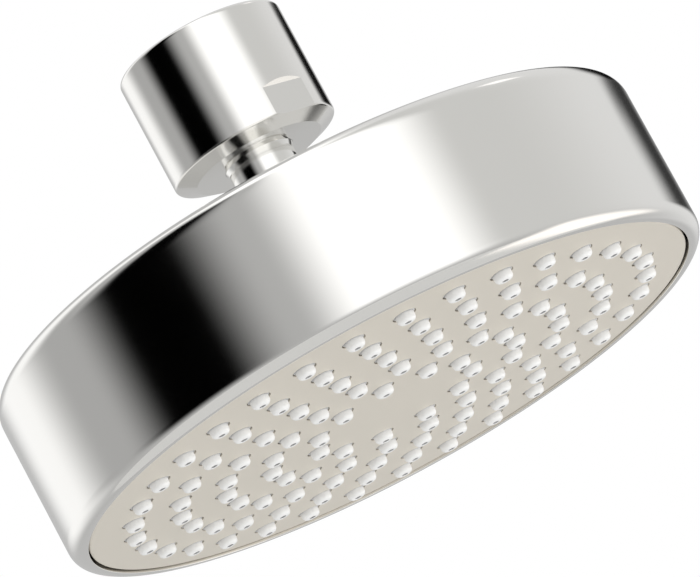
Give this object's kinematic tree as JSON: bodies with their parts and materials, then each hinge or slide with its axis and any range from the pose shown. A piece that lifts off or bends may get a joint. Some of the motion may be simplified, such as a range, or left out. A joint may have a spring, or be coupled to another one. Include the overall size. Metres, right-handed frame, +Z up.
{
  "type": "rain shower head",
  "caption": "Round drum-shaped rain shower head with a domed face of soft nozzles, on a ball stem that swivels and tilts in a threaded collar with wrench flats.",
  "frame": {"origin": "centre of the inlet mouth at the collar's top face", "axes": "+Z up out of the inlet mouth along the collar's axis, with the spray face below; +X square to a wrench flat; +Y along the row where every nozzle ring has a nozzle"},
  "size_m": [0.1134, 0.1134, 0.0696],
  "materials": {
    "polished_chrome": "polished chrome plating",
    "satin_nickel_steel": "satin nickel, fine blasted",
    "white_silicone": "moulded silicone, matt",
    "acetal": "moulded acetal",
    "black_rubber": "moulded rubber, matt",
    "grey_abs": "moulded plastic, matt",
    "white_nylon": "moulded nylon",
    "stainless_steel": "stamped stainless steel",
    "turned_brass": "turned brass"
  },
  "bodies": {
    "collar_body": {"collar": "polished_chrome", "inlet_washer": "black_rubber", "filter_screen": "stainless_steel", "upper_seat": "acetal", "ball_seal": "black_rubber"},
    "seat_ring": {"lower_seat": "acetal"},
    "head": {"housing": "polished_chrome", "ball_stem": "polished_chrome", "spray_face": "satin_nickel_steel", "nozzle_mat": "white_silicone", "hub_seal": "black_rubber", "hub_gasket": "black_rubber", "regulator_ring": "black_rubber", "chamber_plate": "grey_abs", "neck_washer": "white_nylon", "flow_regulator": "white_nylon", "regulator_clip": "stainless_steel", "nut_washer": "stainless_steel", "spring_washer": "stainless_steel", "stem_nut": "turned_brass"}
  },
  "joints": [
    {"name": "swivel", "type": "hinge", "parent": "collar_body", "child": "seat_ring", "pos_m": [0, 0, -0.0192], "axis": [0, 0, 1], "continuous": true},
    {"name": "tilt", "type": "hinge", "parent": "seat_ring", "child": "head", "pos_m": [0, 0, -0.0192], "axis": [1, 0, 0], "range_deg": [-8, 8]}
  ]
}
